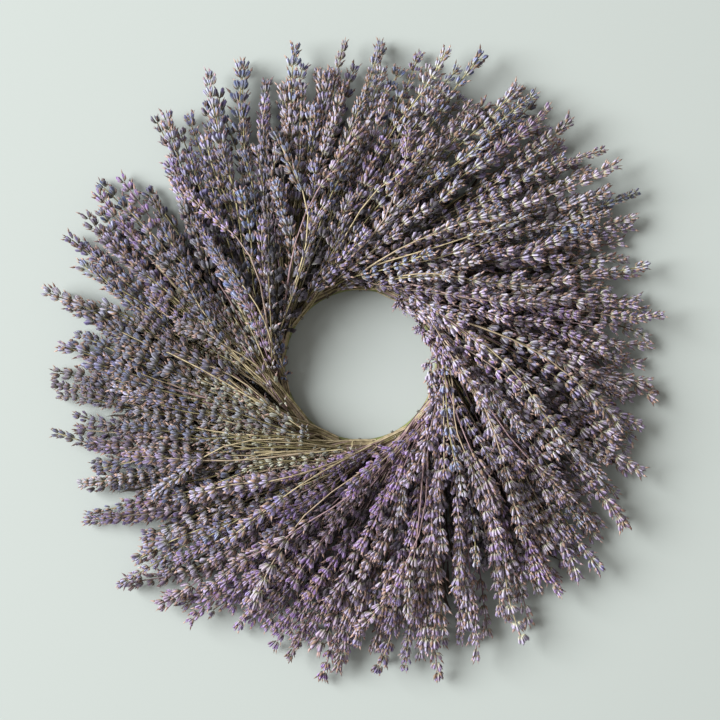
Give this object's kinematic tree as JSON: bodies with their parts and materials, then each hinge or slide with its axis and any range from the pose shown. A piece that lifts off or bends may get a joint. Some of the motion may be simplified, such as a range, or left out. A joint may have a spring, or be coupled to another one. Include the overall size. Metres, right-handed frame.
{
  "type": "lavender wreath",
  "caption": "Round wreath of dried lavender: bunches of flower spikes laid like shingles in a clockwise swirl and tied to a wire ring with binding wire.",
  "frame": {"origin": "middle of the outline, on the surface that the wreath lies on", "axes": "+Z out of the wreath's front, which faces up; +Y is up in the picture and +X is right"},
  "size_m": [0.4524, 0.4666, 0.0598],
  "materials": {
    "lavender": "dried flower spikes, matte slate purple with silvery green calyx bases and tan wilted petals, on olive to straw stems",
    "green_wire": "dull green lacquered steel wire",
    "binding_wire": "thin annealed steel binding wire, dull grey-brown"
  },
  "bodies": {
    "root": {"wire_ring": "green_wire", "bunch_01": "lavender", "bunch_02": "lavender", "bunch_03": "lavender", "bunch_04": "lavender", "bunch_05": "lavender", "bunch_06": "lavender", "bunch_07": "lavender", "bunch_08": "lavender", "bunch_09": "lavender", "bunch_10": "lavender", "bunch_11": "lavender", "bunch_12": "lavender", "bunch_13": "lavender", "bunch_14": "lavender", "tie_01": "binding_wire", "tie_02": "binding_wire", "tie_03": "binding_wire", "tie_04": "binding_wire", "tie_05": "binding_wire", "tie_06": "binding_wire", "tie_07": "binding_wire", "tie_08": "binding_wire", "tie_09": "binding_wire", "tie_10": "binding_wire", "tie_11": "binding_wire", "tie_12": "binding_wire", "tie_13": "binding_wire", "tie_14": "binding_wire"}
  },
  "joints": []
}
